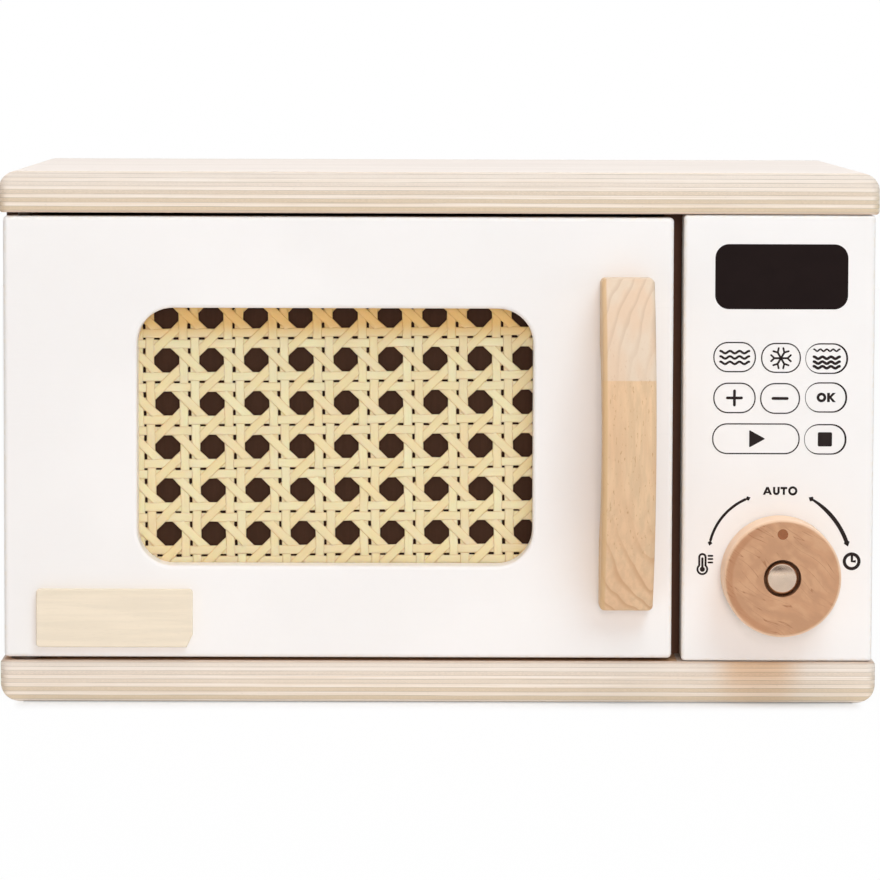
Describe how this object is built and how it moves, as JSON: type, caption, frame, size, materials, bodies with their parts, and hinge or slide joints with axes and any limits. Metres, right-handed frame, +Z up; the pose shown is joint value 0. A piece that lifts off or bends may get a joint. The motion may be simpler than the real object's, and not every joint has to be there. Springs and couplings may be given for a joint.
{
  "type": "toy microwave oven",
  "caption": "Toy microwave oven: plywood boards, white casing, hinged door with a cane window and bow handle, turning dial with a press button that rings a bell, and a turntable.",
  "frame": {"origin": "middle of the bottom board's underside, which is the face that it stands on", "axes": "+X to the right along the front, +Y to the back, +Z up; the door and the controls face -Y"},
  "size_m": [0.315, 0.232, 0.1904],
  "materials": {
    "birch_plywood": "satin lacquer over birch plywood, plies showing on the edges",
    "white_paint": "satin white paint on wood",
    "white_paint_dark_inside": "satin white paint outside, dark brown inside the cavity",
    "dark_brown_paint": "matt dark brown paint on wood",
    "beech_light": "satin lacquer on light beech",
    "beech_steamed": "satin lacquer on steamed, reddish beech",
    "marker_brown": "dark stained dowel",
    "lime_wood": "bare pale wood, lightly lacquered",
    "cane": "natural rattan cane, soft sheen",
    "display_black": "smooth black",
    "nickel": "polished nickel",
    "steel": "zinc-plated steel",
    "spring_steel": "bright spring steel",
    "brass": "turned brass",
    "nylon": "natural nylon",
    "magnet": "nickel-plated magnet"
  },
  "bodies": {
    "cabinet": {"bottom_board": "birch_plywood", "top_board": "birch_plywood", "left_side_panel": "white_paint_dark_inside", "right_side_panel": "white_paint", "divider_panel": "dark_brown_paint", "back_panel": "white_paint_dark_inside", "control_panel": "white_paint", "display_panel": "display_black", "casing_dowels": "lime_wood", "base_screws": "steel", "back_screws": "steel", "hinge_bushes": "nylon", "hinge_washer": "nylon", "catch_block": "dark_brown_paint", "strike_plate": "steel", "strike_screw": "steel", "dial_bush": "nylon", "click_spring": "spring_steel", "lever_block": "lime_wood", "lever_pivot": "steel", "pivot_clip": "spring_steel", "bell_gong": "brass", "gong_post": "lime_wood", "gong_screw": "steel", "turntable_pivot": "steel"},
    "door": {"door_panel": "white_paint", "cane_webbing": "cane", "window_backing": "dark_brown_paint", "cane_frame": "dark_brown_paint", "cane_frame_screws": "steel", "door_handle": "beech_light", "handle_screws": "steel", "name_plate": "lime_wood", "door_magnet": "magnet", "hinge_pins": "steel"},
    "dial": {"dial": "beech_steamed", "dial_marker": "marker_brown", "dial_spindle": "steel", "click_wheel": "nylon", "spindle_clip": "spring_steel"},
    "button": {"button_cap": "nickel", "button_stem": "steel", "stem_clip": "spring_steel", "button_spring": "spring_steel"},
    "striker": {"striker_lever": "steel", "hammer": "brass"},
    "turntable": {"turntable_plate": "birch_plywood", "turntable_bush": "nylon"}
  },
  "joints": [
    {"name": "door_hinge", "type": "hinge", "parent": "cabinet", "child": "door", "pos_m": [-0.1484, -0.0925, 0], "axis": [0, 0, -1], "range_deg": [0, 110]},
    {"name": "dial_turn", "type": "hinge", "parent": "cabinet", "child": "dial", "pos_m": [0.1222, -0.1, 0.0468], "axis": [0, 1, 0], "continuous": true, "deforming": ["click_spring"]},
    {"name": "button_press", "type": "slide", "parent": "dial", "child": "button", "axis": [0, 1, 0], "range_m": [0, 0.003], "stiffness_N_per_m": 400, "springref_m": -0.002, "deforming": ["button_spring"]},
    {"name": "striker_swing", "type": "hinge", "parent": "cabinet", "child": "striker", "pos_m": [0.1222, -0.052, 0.0618], "axis": [1, 0, 0], "range_deg": [0, 11.5]},
    {"name": "turntable_turn", "type": "hinge", "parent": "cabinet", "child": "turntable", "pos_m": [-0.0314, 0.006, 0.0171], "axis": [0, 0, 1], "continuous": true}
  ],
  "couplings": [
    {"joint": "striker_swing", "follows": "button_press", "rad_per_m": 66.667}
  ]
}
